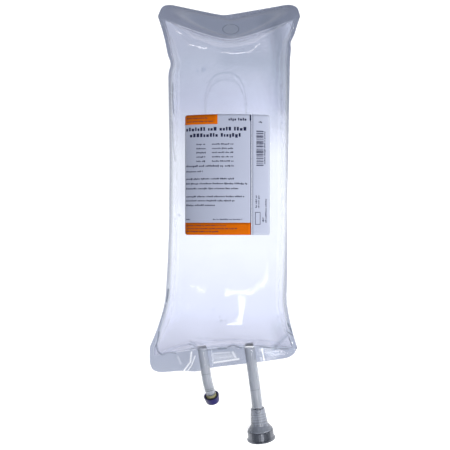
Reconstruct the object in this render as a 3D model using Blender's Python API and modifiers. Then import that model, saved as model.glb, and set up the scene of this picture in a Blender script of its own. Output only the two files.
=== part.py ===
"""An infusion bag at rest on its back: two film sheets welded round a litre of fluid,
a two-part label, an injection port and an infusion port.
+Z up out of the label side, +Y towards the hanger end, metres."""

import math

import bmesh
import bpy
from mathutils import Vector

# Film pouch
FILM = 0.0003
FIT = 0.0003
CHAMBER_HALF_WIDTH = 0.0518
HANGER_FLARE = 0.0095
PORT_FLARE = 0.0118
HANGER_FLARE_LENGTH = 0.040
PORT_FLARE_LENGTH = 0.046
SIDE_WELD = 0.003
SIDE_WELD_FOLD = math.radians(20)
FILLED_HEIGHT = 0.0465
PORT_END_SLACK = 0.0022
CROWN_AT = 0.035
CROWN_SPREAD = 0.070
SIDE_SEAM_HEIGHT = 0.0145
PORT_SEAM_HEIGHT = 0.0225
HANGER_SEAM_HEIGHT = 0.0185
SEAM_BLEND = 0.022
END_ROUNDING = 0.0125
UNDER_ROUNDING = 0.0100
HANGER_WELD_AT = 0.1355
HANGER_WELD_BOW = 0.0193
HANGER_WELD_EASE = 1.5
HANGER_BAND = 0.0223
HANGER_EDGE_RISE = 0.0118
HANGER_EDGE_TILT = 0.001
HANGER_EDGE_LOW_AT = -0.08
HANGER_EDGE_ROUNDING = 0.06
PORT_WELD_AT = 0.1425
PORT_WELD_BOW = 0.005
PORT_WELD_SKEW = 0.0035
PORT_BAND = 0.0165
PORT_EDGE_SKEW = 0.0075
PORT_EDGE_FOLD = 0.0022
PORT_EDGE_FOLD_AT = -0.42
PORT_EDGE_FOLD_SPREAD = 0.15
BAND_LEAST = 0.0006
HANGER_CORNER_RADIUS = 0.0118
PORT_CORNER_RADIUS = 0.010
BODY_LEAN = 0.005
BODY_LEAN_FROM = 0.020
BODY_LEAN_EASE = 1.5
HANGER_FLARE_EASE = 1.6
PORT_FLARE_EASE = 1.5
HANGER_BAND_SLOPE = math.radians(12)
PORT_SLOPE_REACH = 0.3
PORT_RISE_LOST = 0.6
HANGER_RISE_LOST = 0.5

# How square the front and the back are across the bag, and how steeply they leave its sides
FRONT_SQUARENESS = 2.5
FRONT_STEEPNESS = 0.6
BACK_SQUARENESS = 6
BACK_STEEPNESS = 0.41
BACK_FULLNESS = 1.15

# Gathers: their depth, how many radians they turn through across the bag, and how far they run in
PORT_PLEAT = 0.0011
PORT_PLEAT_TURN = 19.0
PORT_PLEAT_START = 0.8
PORT_PLEAT_RUN = 0.014
HANGER_PLEAT = 0.0010
HANGER_PLEAT_TURN = 14.0
HANGER_PLEAT_START = -1.1
HANGER_PLEAT_RUN = 0.015
SIDE_PUCKER = 0.0010
SIDE_PUCKER_LENGTH = 0.024
SIDE_PUCKER_RUN = 0.040
SIDE_PUCKER_FROM = 0.45
SIDE_PUCKER_EASE = 0.35
PLEAT_OPENING = 0.005
PLEAT_MARGIN = 0.12

# Hanger hole
HANGER_HOLE_X = 0.0016
HANGER_HOLE_Y = 0.1445
HANGER_HOLE_LENGTH = 0.0135
HANGER_HOLE_WIDTH = 0.0085

# Air bubble above the fluid
BUBBLE_DEPTH = 0.0014

# Label
LABEL_PAPER = 0.0002
LABEL_LIFT = 0.0004
LABEL_LEFT = -0.0388
LABEL_RIGHT = 0.0358
LABEL_TOP = 0.0644
LABEL_BOTTOM = -0.0412
LABEL_STRIP_WIDTH = 0.0158
LABEL_SLIT = 0.0005
LABEL_CORNER = 0.0022
LABEL_GRID = 0.007
LABEL_ROWS = 9

# Both ports are welded in at one lean, and bend on their way down to the surface
PORT_LEAN = math.radians(8)
PORT_LEAN_WIDTH = 0.62
PORT_INSIDE = 0.004
PORT_STRAIGHT = 0.024
TUBE_FREE = 0.001

# Injection port
INJECTION_AT = -0.0190
INJECTION_TUBE_RADIUS = 0.0044
INJECTION_TUBE_WALL = 0.0010
INJECTION_TUBE_LENGTH = 0.0425
INJECTION_SLOPE = math.radians(9)
INJECTION_END_SLOPE = math.radians(28)
INJECTION_END_TURN = math.radians(14)
INSERT_REACH = 0.006
INSERT_COLLAR = 0.0010
INSERT_NECK = 0.0058
INSERT_WALL = 0.0008
SEPTUM_SLEEVE_WALL = 0.0012
SEPTUM_FLANGE = 0.0030
SEPTUM_DISC = 0.0024
INJECTION_CAP_RADIUS = 0.0070
INJECTION_CAP_HEIGHT = 0.0072
INJECTION_CAP_WALL = 0.0012
INJECTION_CAP_ROUND = 0.0016
INJECTION_CAP_TAPER = 0.0008

# Infusion port
INFUSION_AT = 0.0233
INFUSION_TUBE_RADIUS = 0.0048
INFUSION_TUBE_WALL = 0.0012
INFUSION_TUBE_LENGTH = 0.0560
INFUSION_SLOPE = math.radians(2)
INFUSION_END_SLOPE = math.radians(9)
INFUSION_END_TURN = math.radians(7)
NECK_STEM = 0.008
NECK_BORE_RADIUS = 0.0022
NECK_BORE_TAPER = 0.003
NECK_FOOT_RADIUS = 0.0062
NECK_FOOT_ROUND = 0.0008
NECK_TOP_RADIUS = 0.0077
NECK_LENGTH = 0.0240
NECK_FLANGE = 0.0024
NECK_SKIRT = 0.0050
NECK_SKIRT_EDGE = 0.0006
NECK_SKIRT_RADIUS = 0.0112
NECK_GROOVE_RADIUS = 0.0085
NECK_MOUTH_RADIUS = 0.0058
NECK_MOUTH_DEPTH = 0.0062
STOPPER_DISC = 0.0050
STOPPER_PLUG = 0.0050
STOPPER_EDGE = 0.0006
CRIMP_RADIUS = 0.0117
CRIMP_WALL = 0.0004
CRIMP_RIM_RADIUS = 0.01285
CRIMP_RIM = 0.0018
CRIMP_ROUND = 0.0006
CRIMP_LIP_RADIUS = 0.0088
TEAR_RING_RADIUS = 0.0070
TEAR_RING_WIDTH = 0.0008
TEAR_RING_DEPTH = 0.0002

# Fineness of the soft forms
SIDE_COLUMNS = 7
SLEEVE_COLUMN_ROOM = 0.04
BODY_ROWS = 22
BODY_ROWS_EVEN = 0.3
TUBE_STEP = 0.003
TURN_STEPS = 32
ARC_STEPS = 4
SLEEVE_TURN = math.radians(60)


def share(value, start, length):
    """How far value lies along a stretch, from 0 to 1."""
    return min(1.0, max(0.0, (value - start) / length))


# The pouch's form: u runs across the chamber from -1 to 1, and y along the bag


def centre_line(y):
    return -BODY_LEAN * share(-y, BODY_LEAN_FROM, PORT_WELD_AT - BODY_LEAN_FROM) ** BODY_LEAN_EASE


def half_width(y):
    hanger = share(y, HANGER_WELD_AT - HANGER_FLARE_LENGTH / 2, HANGER_FLARE_LENGTH)
    port = share(-y, PORT_WELD_AT - PORT_FLARE_LENGTH, PORT_FLARE_LENGTH)
    flare = HANGER_FLARE * hanger**HANGER_FLARE_EASE + PORT_FLARE * port**PORT_FLARE_EASE
    return CHAMBER_HALF_WIDTH + flare


def port_weld(u):
    return -PORT_WELD_AT + PORT_WELD_SKEW * u - PORT_WELD_BOW * u * u


def hanger_weld(u):
    return HANGER_WELD_AT + HANGER_WELD_BOW * abs(u) ** HANGER_WELD_EASE


def corner_pull(u, radius):
    """How far a rounded corner draws the sheet's end in: u is 2 or -2 at the side welds' outer edges."""
    from_side = SIDE_WELD * (2 - abs(u)) if abs(u) > 1 else SIDE_WELD + CHAMBER_HALF_WIDTH * (1 - abs(u))
    inwards = 1 - share(from_side, 0, radius)
    return radius * (1 - math.sqrt(1 - inwards * inwards))


def port_edge(u):
    """The port end's edge, which hangs lowest where the film is folded beside the injection port."""
    fold = PORT_EDGE_FOLD * math.exp(-(((u - PORT_EDGE_FOLD_AT) / PORT_EDGE_FOLD_SPREAD) ** 2))
    return -PORT_WELD_AT - PORT_BAND + PORT_EDGE_SKEW * u - fold


def hanger_edge(u):
    """The hanger end's edge, which stands lowest near the hole and rises to both corners."""
    rise = math.hypot(u - HANGER_EDGE_LOW_AT, HANGER_EDGE_ROUNDING) - HANGER_EDGE_ROUNDING
    return HANGER_WELD_AT + HANGER_BAND + HANGER_EDGE_RISE * rise - HANGER_EDGE_TILT * u


def band_slope(u):
    """The port end's band falls outwards, more on the injection port's side."""
    x = u * half_width(-PORT_WELD_AT)
    across = (x - INJECTION_AT) / (INFUSION_AT - INJECTION_AT)
    across = min(1 + PORT_SLOPE_REACH, max(-PORT_SLOPE_REACH, across))
    return INJECTION_SLOPE + (INFUSION_SLOPE - INJECTION_SLOPE) * across


def seam_height(u, y):
    """The height of the surface in which the two sheets meet."""
    from_port = y - port_weld(u)
    from_hanger = hanger_weld(u) - y
    port_rise = (PORT_SEAM_HEIGHT - SIDE_SEAM_HEIGHT) * (1 - PORT_RISE_LOST * u * u)
    hanger_rise = (HANGER_SEAM_HEIGHT - SIDE_SEAM_HEIGHT) * (1 - HANGER_RISE_LOST * u * u)
    height = SIDE_SEAM_HEIGHT
    height += port_rise * math.exp(-max(0.0, from_port) / SEAM_BLEND)
    height += hanger_rise * math.exp(-max(0.0, from_hanger) / SEAM_BLEND)
    height += min(0.0, from_port) * math.tan(band_slope(u))
    height += min(0.0, from_hanger) * math.tan(HANGER_BAND_SLOPE)
    return height


def end_distances(u, y):
    return max(0.0, y - port_weld(u)), max(0.0, hanger_weld(u) - y)


def filling(u, y, rounding):
    """How fully the chamber stands open at a distance from its end welds."""
    return 1 - math.exp(-min(end_distances(u, y)) / rounding)


def pleats(u, y):
    """Shallow gathers where the wide sheet is drawn narrow: in from the end welds, and at the corners."""
    from_port, from_hanger = end_distances(u, y)
    opening = share(min(from_port, from_hanger), 0, PLEAT_OPENING)
    margin = share(1 - abs(u), 0, PLEAT_MARGIN)
    port = PORT_PLEAT * math.cos(PORT_PLEAT_TURN * u + PORT_PLEAT_START)
    port *= math.exp(-from_port / PORT_PLEAT_RUN)
    hanger = HANGER_PLEAT * math.cos(HANGER_PLEAT_TURN * u + HANGER_PLEAT_START)
    hanger *= math.exp(-from_hanger / HANGER_PLEAT_RUN)
    beside = share(abs(u), SIDE_PUCKER_FROM, SIDE_PUCKER_EASE) * margin
    near = math.exp(-from_port / SIDE_PUCKER_RUN) + math.exp(-from_hanger / SIDE_PUCKER_RUN)
    side = SIDE_PUCKER * math.cos(2 * math.pi * y / SIDE_PUCKER_LENGTH + 2 * u) * beside * near
    return opening * margin * (port + hanger + side)


def crown(y):
    return FILLED_HEIGHT - PORT_END_SLACK * (1 - math.exp(-(((y - CROWN_AT) / CROWN_SPREAD) ** 2)))


def front_height(u, y):
    """The front of the filled chamber, between the sheets."""
    seam = seam_height(u, y)
    bulge = (1 - min(1.0, abs(u)) ** FRONT_SQUARENESS) ** FRONT_STEEPNESS
    return seam + (crown(y) - seam) * bulge * filling(u, y, END_ROUNDING) + pleats(u, y)


def back_height(u, y):
    """The back of the filled chamber, which lies flat where it rests."""
    seam = seam_height(u, y)
    bulge = BACK_FULLNESS * (1 - min(1.0, abs(u)) ** BACK_SQUARENESS) ** BACK_STEEPNESS
    return max(0.0, seam * (1 - bulge * filling(u, y, UNDER_ROUNDING)) + pleats(u, y) / 2)


def lean_shift(u, y):
    """The middle of the port band leans with its ports."""
    below = max(0.0, -PORT_WELD_AT - y)
    return math.tan(PORT_LEAN) * below * (1 - share(abs(u), PORT_LEAN_WIDTH, 1 - PORT_LEAN_WIDTH))


def station(u, t, pull=0.0):
    """x and y at t, which is -1 at the port edge, 0 to 1 along the chamber and 2 at the hanger edge."""
    if t < 0:
        y = port_weld(u) + max(BAND_LEAST, port_weld(u) - port_edge(u) - pull) * t
    elif t > 1:
        y = hanger_weld(u) + max(BAND_LEAST, hanger_edge(u) - hanger_weld(u) - pull) * (t - 1)
    else:
        y = port_weld(u) + (hanger_weld(u) - port_weld(u)) * t
    return centre_line(y) + half_width(y) * u + lean_shift(u, y), y


# The ports' axes


def heading(turn, slope):
    return Vector((math.sin(turn) * math.cos(slope), -math.cos(turn) * math.cos(slope), -math.sin(slope)))


def port_crossing(at):
    """Where a port's axis crosses the weld."""
    u = at / half_width(-PORT_WELD_AT)
    y = port_weld(u)
    return Vector((centre_line(y) + at + lean_shift(u, y), y, seam_height(u, y)))


def port_points(at, length, slope, end_slope, end_turn, held):
    """Points on a port's axis, from inside the chamber to the tube's end, straight at a rigid stem."""
    crossing = port_crossing(at)
    straight = heading(PORT_LEAN, slope)
    points = [crossing - straight * PORT_INSIDE, crossing + straight * PORT_STRAIGHT]
    bend = length - PORT_STRAIGHT - held
    steps = math.ceil(bend / TUBE_STEP)
    for k in range(steps):
        bent = (k + 0.5) / steps
        turn = PORT_LEAN + (end_turn - PORT_LEAN) * bent
        fall = slope + (end_slope - slope) * bent
        points.append(points[-1] + heading(turn, fall) * bend / steps)
    points.append(points[-1] + heading(end_turn, end_slope) * held)
    return points


INJECTION_POINTS = port_points(
    INJECTION_AT,
    INJECTION_TUBE_LENGTH,
    INJECTION_SLOPE,
    INJECTION_END_SLOPE,
    INJECTION_END_TURN,
    INSERT_REACH + TUBE_FREE,
)
INFUSION_POINTS = port_points(
    INFUSION_AT,
    INFUSION_TUBE_LENGTH,
    INFUSION_SLOPE,
    INFUSION_END_SLOPE,
    INFUSION_END_TURN,
    NECK_STEM + TUBE_FREE,
)
SLEEVES = (
    (INJECTION_AT, INJECTION_SLOPE, INJECTION_TUBE_RADIUS + FIT + FILM),
    (INFUSION_AT, INFUSION_SLOPE, INFUSION_TUBE_RADIUS + FIT + FILM),
)


def sleeve_rise(x, y):
    """How far the film stands off the seam where it runs round a port tube, and the axis's height."""
    for at, slope, radius in SLEEVES:
        crossing = port_crossing(at)
        straight = heading(PORT_LEAN, slope)
        outwards = (y - crossing.y) / straight.y
        axis = crossing + straight * outwards
        beside = abs(x - axis.x) * math.cos(PORT_LEAN)
        tent = radius / math.sin(SLEEVE_TURN)
        if outwards < -PORT_INSIDE or beside > tent:
            continue
        if beside < radius * math.sin(SLEEVE_TURN):
            return math.sqrt(radius * radius - beside * beside), axis.z
        return (tent - beside) * math.tan(SLEEVE_TURN), axis.z
    return 0.0, None


def columns():
    """Positions across the chamber: closer at the sides, and round each port's sleeve."""
    wide = half_width(-PORT_WELD_AT)
    sleeves = []
    for at, _, radius in SLEEVES:
        for turn in (0.0, math.sin(SLEEVE_TURN / 2), math.sin(SLEEVE_TURN), 1 / math.sin(SLEEVE_TURN)):
            offset = radius * turn / math.cos(PORT_LEAN)
            sleeves += [(at + offset) / wide, (at - offset) / wide]
    even = [math.sin(math.pi / 2 * k / SIDE_COLUMNS) for k in range(-SIDE_COLUMNS, SIDE_COLUMNS + 1)]
    clear = [u for u in even if all(abs(u - s) > SLEEVE_COLUMN_ROOM for s in sleeves)]
    return sorted(set(round(u, 7) for u in clear + sleeves))


def chamber_rows():
    """Shares of the way from the port weld to the hanger weld, closer at both ends."""
    even = [k / BODY_ROWS for k in range(BODY_ROWS + 1)]
    return [BODY_ROWS_EVEN * e + (1 - BODY_ROWS_EVEN) * (1 - math.cos(math.pi * e)) / 2 for e in even]


def outer_face(u, t, side):
    """A point on the outside of the front sheet (side 1) or the back sheet (side -1)."""
    inner = min(1.0, max(-1.0, u))
    x, y = station(inner, t, corner_pull(u, PORT_CORNER_RADIUS if t < 0 else HANGER_CORNER_RADIUS))
    seam = seam_height(inner, y)
    proud = FIT / 2 + FILM
    rise, axis = sleeve_rise(x, y)
    if side > 0:
        height = max(front_height(inner, y) if 0 <= t <= 1 else seam, seam) + proud
        if axis is not None:
            height = max(height, axis + rise)
    else:
        height = min(back_height(inner, y) if 0 <= t <= 1 else seam, seam) - proud
        if axis is not None:
            height = min(height, axis - rise)
        height = max(0.0, height)
    if abs(u) > 1:
        x += math.copysign(SIDE_WELD * math.cos(SIDE_WELD_FOLD), u)
        height -= SIDE_WELD * math.sin(SIDE_WELD_FOLD)
    return Vector((x, y, height))


# Building


def clear_scene():
    for obj in list(bpy.data.objects):
        bpy.data.objects.remove(obj, do_unlink=True)


def new_collection(name):
    made = bpy.data.collections.new(name)
    bpy.context.scene.collection.children.link(made)
    return made


def material(name, colour, roughness, metallic=0.0, transmission=0.0):
    made = bpy.data.materials.new(name)
    made.use_nodes = True
    shader = made.node_tree.nodes["Principled BSDF"]
    shader.inputs["Base Color"].default_value = (*colour, 1.0)
    shader.inputs["Roughness"].default_value = roughness
    shader.inputs["Metallic"].default_value = metallic
    shader.inputs["Transmission Weight"].default_value = transmission
    return made


def add_object(name, shape, finish, collection):
    """A new object from a bmesh, smooth except at its sharp edges."""
    mesh = bpy.data.meshes.new(name)
    shape.to_mesh(mesh)
    shape.free()
    mesh.shade_smooth()
    mesh.set_sharp_from_angle(angle=math.radians(35))
    obj = bpy.data.objects.new(name, mesh)
    obj.data.materials.append(finish)
    collection.objects.link(obj)
    return obj


def formed_grid(across, along, place):
    """A flat grid whose points are moved to place(across, along)."""
    shape = bmesh.new()
    bmesh.ops.create_grid(shape, x_segments=len(across) - 1, y_segments=len(along) - 1, size=0.5)
    for vertex in shape.verts:
        i = round((vertex.co.x + 0.5) * (len(across) - 1))
        j = round((vertex.co.y + 0.5) * (len(along) - 1))
        vertex.co = place(across[i], along[j])
    return shape


def solidify(obj, thickness, offset):
    wall = obj.modifiers.new("wall", "SOLIDIFY")
    wall.thickness = thickness
    wall.offset = offset
    wall.use_rim = True


def boolean(obj, other, operation):
    cut = obj.modifiers.new(other.name, "BOOLEAN")
    cut.operation = operation
    cut.solver = "EXACT"
    cut.object = other


def as_helper(obj, collection):
    for holder in list(obj.users_collection):
        holder.objects.unlink(obj)
    collection.objects.link(obj)
    obj.hide_render = True
    obj.display_type = "WIRE"
    return obj


def film_sheet(name, side, finish, collection, hole):
    fins = [-2.0] + columns() + [2.0]
    stations = [-1.0, -0.5] + chamber_rows() + [1.5, 2.0]
    shape = formed_grid(fins, stations, lambda u, t: outer_face(u, t, side))
    if side < 0:
        bmesh.ops.reverse_faces(shape, faces=shape.faces)
    sheet = add_object(name, shape, finish, collection)
    solidify(sheet, FILM, -1)
    boolean(sheet, hole, "DIFFERENCE")
    return sheet


def hanger_hole(collection):
    """A cutter through both sheets, upright, longer across the bag than along it."""
    shape = bmesh.new()
    bmesh.ops.create_cone(shape, cap_ends=True, segments=24, radius1=0.5, radius2=0.5, depth=1.0)
    bmesh.ops.scale(shape, vec=(HANGER_HOLE_LENGTH, HANGER_HOLE_WIDTH, FILLED_HEIGHT), verts=shape.verts)
    bmesh.ops.translate(shape, vec=(HANGER_HOLE_X, HANGER_HOLE_Y, HANGER_SEAM_HEIGHT), verts=shape.verts)
    mesh = bpy.data.meshes.new("hanger_hole_cutter")
    shape.to_mesh(mesh)
    shape.free()
    cutter = bpy.data.objects.new("hanger_hole_cutter", mesh)
    collection.objects.link(cutter)
    return as_helper(cutter, collection)


def tube_mesh(name, points, radius, caps, collection):
    """A round bar or open tube wall along points, made a mesh."""
    curve = bpy.data.curves.new(name, "CURVE")
    curve.dimensions = "3D"
    curve.bevel_depth = radius
    curve.bevel_resolution = 6
    curve.use_fill_caps = caps
    spline = curve.splines.new("POLY")
    spline.points.add(len(points) - 1)
    for knot, point in zip(spline.points, points):
        knot.co = (*point, 1.0)
    drawn = bpy.data.objects.new(name + "_curve", curve)
    collection.objects.link(drawn)
    graph = bpy.context.evaluated_depsgraph_get()
    mesh = bpy.data.meshes.new_from_object(drawn.evaluated_get(graph))
    shape = bmesh.new()
    shape.from_mesh(mesh)
    bmesh.ops.remove_doubles(shape, verts=shape.verts, dist=1e-6)
    shape.to_mesh(mesh)
    shape.free()
    mesh.shade_smooth()
    mesh.set_sharp_from_angle(angle=math.radians(35))
    obj = bpy.data.objects.new(name, mesh)
    obj.matrix_world = drawn.matrix_world
    collection.objects.link(obj)
    bpy.data.objects.remove(drawn, do_unlink=True)
    return obj


def port_tube(name, points, radius, wall, finish, collection):
    tube = tube_mesh(name, points, radius, False, collection)
    tube.data.materials.clear()
    tube.data.materials.append(finish)
    solidify(tube, wall, -1)
    return tube


def tube_end(points, slope, turn):
    """The frame at a tube's end: its place, and a turn that lays +Z along the port's way out."""
    return points[-1], heading(turn, slope).to_track_quat("Z", "Y")


def turned(name, profile, closed, end, finish, collection):
    """A profile of (radius, height) turned about the port's axis."""
    mesh = bpy.data.meshes.new(name)
    links = [(k, k + 1) for k in range(len(profile) - 1)]
    if closed:
        links.append((len(profile) - 1, 0))
    mesh.from_pydata([(radius, 0.0, height) for radius, height in profile], links, [])
    obj = bpy.data.objects.new(name, mesh)
    obj.data.materials.append(finish)
    obj.location, turn = end
    obj.rotation_mode = "QUATERNION"
    obj.rotation_quaternion = turn
    collection.objects.link(obj)
    screw = obj.modifiers.new("turn", "SCREW")
    screw.axis = "Z"
    screw.steps = TURN_STEPS
    screw.render_steps = TURN_STEPS
    screw.use_merge_vertices = True
    screw.merge_threshold = 0.00001
    screw.use_smooth_shade = True
    return obj


def arc(radius, height, size, start, end):
    """Points on a rounded edge about (radius, height), from one angle to another in degrees."""
    turns = [math.radians(start + (end - start) * k / ARC_STEPS) for k in range(ARC_STEPS + 1)]
    return [(radius + size * math.cos(a), height + size * math.sin(a)) for a in turns]


def fluid_body(finish, parts, cutters):
    """The fluid: the inside of the pouch, level under the air bubble, with a finger in each port tube."""
    across, along = columns(), chamber_rows()
    body = formed_grid(across, along, lambda u, t: chamber_point(u, t, front_height))
    back = formed_grid(across, along, lambda u, t: chamber_point(u, t, back_height))
    bmesh.ops.reverse_faces(back, faces=back.faces)
    under = bpy.data.meshes.new("fluid_under")
    back.to_mesh(under)
    back.free()
    body.from_mesh(under)
    bpy.data.meshes.remove(under)
    bmesh.ops.remove_doubles(body, verts=body.verts, dist=1e-5)
    fluid = add_object("fluid", body, finish, parts)
    shrink = fluid.modifiers.new("clear_of_film", "DISPLACE")
    shrink.strength = -(FILM + FIT)
    shrink.mid_level = 0.0
    air = bmesh.new()
    bmesh.ops.create_cube(air, size=1.0)
    level = FILLED_HEIGHT - BUBBLE_DEPTH
    bmesh.ops.scale(air, vec=(4 * CHAMBER_HALF_WIDTH, 4 * PORT_WELD_AT, FILLED_HEIGHT), verts=air.verts)
    bmesh.ops.translate(air, vec=(0, 0, level + FILLED_HEIGHT / 2), verts=air.verts)
    bubble = as_helper(add_object("air_bubble_cutter", air, finish, parts), cutters)
    boolean(fluid, bubble, "DIFFERENCE")
    ports = (
        ("injection", INJECTION_POINTS, INJECTION_TUBE_RADIUS, INJECTION_TUBE_WALL, INSERT_REACH),
        ("infusion", INFUSION_POINTS, INFUSION_TUBE_RADIUS, INFUSION_TUBE_WALL, NECK_STEM),
    )
    for name, points, radius, wall, stopped in ports:
        straight = (points[1] - points[0]).normalized()
        room = [points[0] - straight * FIT, points[1]]
        stub = as_helper(tube_mesh(name + "_stub_cutter", room, radius + FIT, True, cutters), cutters)
        boolean(fluid, stub, "DIFFERENCE")
        run = [points[0] - straight * PORT_INSIDE] + shortened(points, stopped + FIT)[1:]
        finger = as_helper(tube_mesh(name + "_finger", run, radius - wall - FIT, True, cutters), cutters)
        boolean(fluid, finger, "UNION")
    return fluid


def chamber_point(u, t, height):
    x, y = station(u, t)
    if t in (0.0, 1.0) or abs(u) == 1:
        return Vector((x, y, seam_height(u, y)))
    return Vector((x, y, height(u, y)))


def shortened(points, length):
    """A line of points with a length taken off its end."""
    kept = list(points)
    while (kept[-1] - kept[-2]).length < length:
        length -= (kept[-1] - kept[-2]).length
        kept.pop()
    kept[-1] = kept[-1] + (kept[-2] - kept[-1]).normalized() * length
    return kept


def label_piece(name, left, right, finish, collection):
    """A piece of the label, with rounded corners, laid on the front sheet."""
    shape = bmesh.new()
    across = max(3, round((right - left) / LABEL_GRID))
    bmesh.ops.create_grid(shape, x_segments=across, y_segments=LABEL_ROWS, size=0.5)
    size = (right - left, LABEL_TOP - LABEL_BOTTOM, 1.0)
    middle = ((left + right) / 2, (LABEL_TOP + LABEL_BOTTOM) / 2, 0.0)
    bmesh.ops.scale(shape, vec=size, verts=shape.verts)
    bmesh.ops.translate(shape, vec=middle, verts=shape.verts)
    corners = [v for v in shape.verts if len(v.link_faces) == 1]
    bmesh.ops.bevel(
        shape, geom=corners, offset=LABEL_CORNER, segments=3, profile=0.5, affect="VERTICES", material=-1
    )
    for vertex in shape.verts:
        x, y = vertex.co.x, vertex.co.y
        u = (x - centre_line(y)) / half_width(y)
        vertex.co.z = front_height(u, y) + FIT / 2 + FILM + LABEL_LIFT
    piece = add_object(name, shape, finish, collection)
    solidify(piece, LABEL_PAPER, 1)
    return piece


def injection_port(finishes, collection):
    end = tube_end(INJECTION_POINTS, INJECTION_END_SLOPE, INJECTION_END_TURN)
    radius, wall = INJECTION_TUBE_RADIUS, INJECTION_TUBE_WALL
    port_tube("injection_port_tube", INJECTION_POINTS, radius, wall, finishes["tube"], collection)
    stem = radius - wall - FIT
    bore = stem - INSERT_WALL
    collar = FIT + INSERT_COLLAR
    top = collar + INSERT_NECK
    insert = [
        (bore, top),
        (stem, top),
        (stem, collar),
        (radius, collar),
        (radius, FIT),
        (stem, FIT),
        (stem, -INSERT_REACH),
        (bore, -INSERT_REACH),
    ]
    turned("injection_port_insert", insert, True, end, finishes["rigid"], collection)
    inside = stem + FIT
    crown_radius = INJECTION_CAP_RADIUS - INJECTION_CAP_TAPER
    flange = crown_radius - INJECTION_CAP_WALL - FIT
    face = top + FIT + SEPTUM_DISC
    septum = [
        (0.0, face),
        (flange, face),
        (flange, face - SEPTUM_FLANGE),
        (inside + SEPTUM_SLEEVE_WALL, face - SEPTUM_FLANGE),
        (inside + SEPTUM_SLEEVE_WALL, collar + FIT),
        (inside, collar + FIT),
        (inside, top + FIT),
        (0.0, top + FIT),
    ]
    turned("injection_septum", septum, False, end, finishes["septum"], collection)
    under = face + FIT
    crown_height = under + INJECTION_CAP_WALL
    rim = crown_height - INJECTION_CAP_HEIGHT
    shoulder = crown_radius - INJECTION_CAP_ROUND
    cap = [(0.0, crown_height)]
    cap += arc(shoulder, crown_height - INJECTION_CAP_ROUND, INJECTION_CAP_ROUND, 90, 0)
    cap += [
        (INJECTION_CAP_RADIUS, rim),
        (INJECTION_CAP_RADIUS - INJECTION_CAP_WALL, rim),
        (crown_radius - INJECTION_CAP_WALL, under),
        (0.0, under),
    ]
    turned("injection_port_cap", cap, False, end, finishes["cap"], collection)


def infusion_port(finishes, collection):
    end = tube_end(INFUSION_POINTS, INFUSION_END_SLOPE, INFUSION_END_TURN)
    radius, wall = INFUSION_TUBE_RADIUS, INFUSION_TUBE_WALL
    port_tube("infusion_port_tube", INFUSION_POINTS, radius, wall, finishes["tube"], collection)
    stem = radius - wall - FIT
    flange = CRIMP_RADIUS - CRIMP_WALL - FIT
    back = NECK_LENGTH - NECK_FLANGE
    neck = [(NECK_MOUTH_RADIUS, NECK_LENGTH), (flange, NECK_LENGTH), (flange, back)]
    skirt = back - CRIMP_WALL - 2 * FIT
    neck += [(NECK_GROOVE_RADIUS, back), (NECK_GROOVE_RADIUS, skirt)]
    neck += [(NECK_SKIRT_RADIUS, skirt), (NECK_SKIRT_RADIUS, skirt - NECK_SKIRT_EDGE)]
    neck += [(NECK_TOP_RADIUS, skirt - NECK_SKIRT)]
    neck += arc(NECK_FOOT_RADIUS - NECK_FOOT_ROUND, FIT + NECK_FOOT_ROUND, NECK_FOOT_ROUND, 0, -90)
    neck += [(stem, FIT), (stem, -NECK_STEM), (NECK_BORE_RADIUS, -NECK_STEM)]
    neck += [(NECK_BORE_RADIUS, NECK_LENGTH - NECK_MOUTH_DEPTH - NECK_BORE_TAPER)]
    neck += [(NECK_MOUTH_RADIUS, NECK_LENGTH - NECK_MOUTH_DEPTH)]
    turned("infusion_port_neck", neck, True, end, finishes["rigid"], collection)
    face = NECK_LENGTH + FIT + STOPPER_DISC
    plug = NECK_MOUTH_RADIUS - FIT
    foot = NECK_LENGTH - STOPPER_PLUG
    stopper = [
        (0.0, face),
        (flange, face),
        (flange, NECK_LENGTH + FIT),
        (plug, NECK_LENGTH + FIT),
        (plug, foot + STOPPER_EDGE),
        (plug - STOPPER_EDGE, foot),
        (0.0, foot),
    ]
    turned("infusion_stopper", stopper, False, end, finishes["rubber"], collection)
    under = face + FIT
    top = under + CRIMP_WALL
    inside = CRIMP_RADIUS - CRIMP_WALL
    lip = back - FIT - CRIMP_WALL
    half = TEAR_RING_WIDTH / 2
    crimp = [(0.0, top), (TEAR_RING_RADIUS - half, top), (TEAR_RING_RADIUS, top - TEAR_RING_DEPTH)]
    crimp += [(TEAR_RING_RADIUS + half, top)]
    crimp += arc(CRIMP_RIM_RADIUS - CRIMP_ROUND, top - CRIMP_ROUND, CRIMP_ROUND, 90, 0)
    crimp += [(CRIMP_RIM_RADIUS, top - CRIMP_RIM + CRIMP_ROUND)]
    crimp += [(CRIMP_RADIUS, top - CRIMP_RIM)]
    crimp += arc(CRIMP_RADIUS - CRIMP_ROUND, lip + CRIMP_ROUND, CRIMP_ROUND, 0, -90)
    crimp += [(CRIMP_LIP_RADIUS, lip), (CRIMP_LIP_RADIUS, lip + CRIMP_WALL), (inside, lip + CRIMP_WALL)]
    crimp += [(inside, under), (0.0, under)]
    turned("infusion_crimp_cap", crimp, False, end, finishes["aluminium"], collection)


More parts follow.
